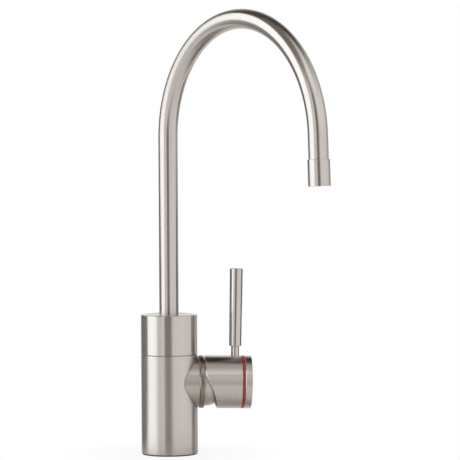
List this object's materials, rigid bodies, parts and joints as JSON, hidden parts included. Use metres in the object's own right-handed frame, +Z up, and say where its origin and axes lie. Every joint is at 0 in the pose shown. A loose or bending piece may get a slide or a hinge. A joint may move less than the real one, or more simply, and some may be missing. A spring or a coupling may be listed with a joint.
{
  "type": "gooseneck bar faucet",
  "caption": "Deck-mounted bar faucet with a tall swivelling gooseneck spout on a round body and a round side handle with a straight upright lever.",
  "frame": {"origin": "the body's axis at the deck plane, on the underside of the base seal", "axes": "+Z up along the body's axis, +X along the valve's axis towards the handle; the spout is stored swung 56.4 degrees from +X towards -Y"},
  "size_m": [0.157, 0.218, 0.4122],
  "materials": {
    "brushed_stainless": "warm brushed satin",
    "plain_steel": "plain turned",
    "brass": "machined",
    "black_rubber": "moulded",
    "ceramic": "lapped ceramic, opaque",
    "white_plastic": "moulded",
    "grey_plastic": "moulded",
    "red_ring": "satin"
  },
  "bodies": {
    "faucet_body": {"body": "brushed_stainless", "base_seal": "black_rubber", "valve_boss": "brushed_stainless", "swivel_post": "brass", "lower_o_ring": "black_rubber", "upper_o_ring": "black_rubber", "retaining_clip": "plain_steel", "thrust_washer": "white_plastic", "cartridge_base": "grey_plastic", "hot_port_seal": "black_rubber", "cold_port_seal": "black_rubber", "outlet_port_seal": "black_rubber", "fixed_ceramic_disc": "ceramic", "cartridge_housing": "grey_plastic", "cartridge_nut": "brass", "bonnet_dome": "brushed_stainless"},
    "spout": {"spout_hub": "brushed_stainless", "lower_bush": "white_plastic", "upper_bush": "white_plastic", "spout_tube": "brushed_stainless", "aerator_sleeve": "brushed_stainless", "aerator_gasket": "black_rubber", "aerator_insert": "white_plastic", "flow_straightener": "white_plastic", "diffuser_plate": "white_plastic"},
    "spindle": {"spindle_guide": "grey_plastic", "pivot_pin": "plain_steel"},
    "handle": {"cartridge_stem": "plain_steel", "handle_cap": "brushed_stainless", "indicator_ring": "red_ring", "end_cap": "brushed_stainless", "lever_neck": "brushed_stainless", "lever_grip": "brushed_stainless", "handle_grub_screw": "plain_steel"},
    "disc": {"moving_ceramic_disc": "ceramic", "disc_carrier": "grey_plastic"}
  },
  "joints": [
    {"name": "spout_swivel", "type": "hinge", "parent": "faucet_body", "child": "spout", "pos_m": [0, 0, 0.093], "axis": [0, 0, 1], "continuous": true},
    {"name": "handle_turn", "type": "hinge", "parent": "faucet_body", "child": "spindle", "pos_m": [0.0326, 0, 0.06715], "axis": [1, 0, 0], "range_deg": [-45, 45]},
    {"name": "handle_tilt", "type": "hinge", "parent": "spindle", "child": "handle", "pos_m": [0.0326, 0, 0.06715], "axis": [0, 1, 0], "range_deg": [0, 23]},
    {"name": "disc_slide", "type": "slide", "parent": "spindle", "child": "disc", "axis": [0, 0, 1], "range_m": [0, 0.00569]}
  ],
  "couplings": [
    {"joint": "disc_slide", "follows": "handle_tilt", "m_per_rad": 0.014148}
  ]
}
